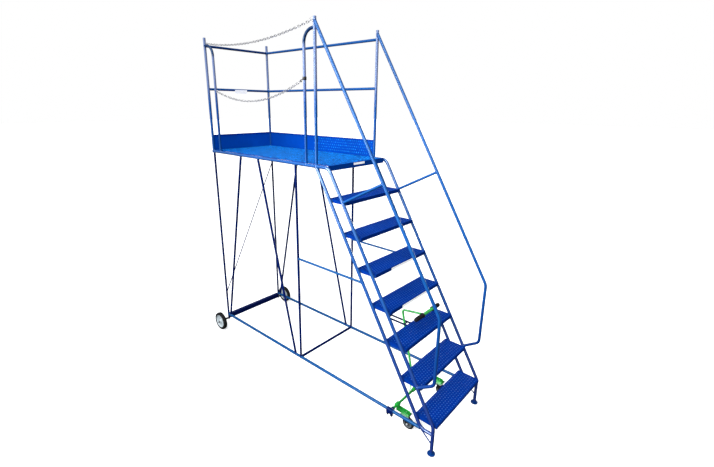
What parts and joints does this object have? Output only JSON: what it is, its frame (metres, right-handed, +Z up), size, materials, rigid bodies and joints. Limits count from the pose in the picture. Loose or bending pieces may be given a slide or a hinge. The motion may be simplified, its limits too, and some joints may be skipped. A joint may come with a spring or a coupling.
{
  "type": "mobile ladder stand",
  "caption": "Mobile platform steps with folded treads, a long railed deck chained on one side, rear wheels, and a hand lever that lowers castors under the front.",
  "frame": {"origin": "on the floor, in the middle of the bounding box", "axes": "+X to the climber's right, +Y in the direction of climbing, from the front feet to the rear wheels, +Z up"},
  "size_m": [0.994, 2.83, 3.095],
  "materials": {
    "frame_blue": "satin powder coat",
    "deck_blue": "satin powder coat over studded plate",
    "tread_blue": "satin powder coat over studded plate",
    "axle_black": "satin",
    "guide_dark": "satin powder coat",
    "chain_zinc": "bright zinc",
    "lift_green": "gloss powder coat",
    "grip_rubber": "matte",
    "castor_zinc": "bright zinc",
    "castor_black": "satin",
    "castor_tyre": "matte",
    "wheel_tyre": "matte",
    "rim_grey": "satin"
  },
  "bodies": {
    "frame": {"side_frame_left": "frame_blue", "side_frame_right": "frame_blue", "rear_stringer_left": "frame_blue", "rear_stringer_right": "frame_blue", "bottom_rail_left": "frame_blue", "bottom_rail_right": "frame_blue", "deck_plate": "deck_blue", "deck_rear_beam": "frame_blue", "toe_board_rear": "deck_blue", "toe_board_right": "deck_blue", "post_rear_left": "frame_blue", "post_rear_right": "frame_blue", "post_front_left": "frame_blue", "post_front_right": "frame_blue", "top_rail_rear": "frame_blue", "mid_rail_rear": "frame_blue", "top_rail_right": "frame_blue", "mid_rail_right": "frame_blue", "hoop_front": "frame_blue", "hoop_rear": "frame_blue", "handrail_left": "frame_blue", "handrail_right": "frame_blue", "handrail_brace_left": "frame_blue", "handrail_brace_right": "frame_blue", "tread_1": "tread_blue", "tread_2": "tread_blue", "tread_3": "tread_blue", "tread_4": "tread_blue", "tread_5": "tread_blue", "tread_6": "tread_blue", "tread_7": "tread_blue", "side_legs_left": "frame_blue", "side_legs_right": "frame_blue", "rear_brace": "frame_blue", "side_tie_left": "frame_blue", "side_tie_right": "frame_blue", "axle_box": "frame_blue", "axle_stubs": "axle_black", "base_bar": "frame_blue", "foot_left": "frame_blue", "foot_right": "frame_blue", "lever_guide": "guide_dark", "shaft_brackets": "frame_blue", "bracket_bolts": "axle_black", "guard_chains": "chain_zinc"},
    "lift": {"cross_shaft": "lift_green", "castor_arm_left": "lift_green", "castor_arm_right": "lift_green", "lift_lever": "lift_green", "lever_grips": "grip_rubber", "castor_plates": "castor_zinc"},
    "castor_swivel_left": {"castor_fork_left": "castor_black"},
    "castor_roll_left": {"castor_wheel_left": "castor_tyre"},
    "castor_swivel_right": {"castor_fork_right": "castor_black"},
    "castor_roll_right": {"castor_wheel_right": "castor_tyre"},
    "rear_wheel_left": {"wheel_tyre_left": "wheel_tyre", "wheel_rim_left": "rim_grey"},
    "rear_wheel_right": {"wheel_tyre_right": "wheel_tyre", "wheel_rim_right": "rim_grey"}
  },
  "joints": [
    {"name": "lift_lever_swing", "type": "hinge", "parent": "frame", "child": "lift", "pos_m": [0, -1.003, 0.165], "axis": [-1, 0, 0], "range_deg": [0, 11.5]},
    {"name": "castor_swivel_left", "type": "hinge", "parent": "lift", "child": "castor_swivel_left", "pos_m": [-0.265, -1.088, 0.11], "axis": [0, 0, 1], "continuous": true},
    {"name": "castor_swivel_right", "type": "hinge", "parent": "lift", "child": "castor_swivel_right", "pos_m": [0.265, -1.088, 0.11], "axis": [0, 0, 1], "continuous": true},
    {"name": "castor_roll_left", "type": "hinge", "parent": "castor_swivel_left", "child": "castor_roll_left", "pos_m": [-0.265, -1.115, 0.05], "axis": [1, 0, 0], "continuous": true},
    {"name": "castor_roll_right", "type": "hinge", "parent": "castor_swivel_right", "child": "castor_roll_right", "pos_m": [0.265, -1.115, 0.05], "axis": [1, 0, 0], "continuous": true},
    {"name": "rear_wheel_left", "type": "hinge", "parent": "frame", "child": "rear_wheel_left", "pos_m": [-0.47, 1.315, 0.1], "axis": [1, 0, 0], "continuous": true},
    {"name": "rear_wheel_right", "type": "hinge", "parent": "frame", "child": "rear_wheel_right", "pos_m": [0.47, 1.315, 0.1], "axis": [1, 0, 0], "continuous": true}
  ]
}
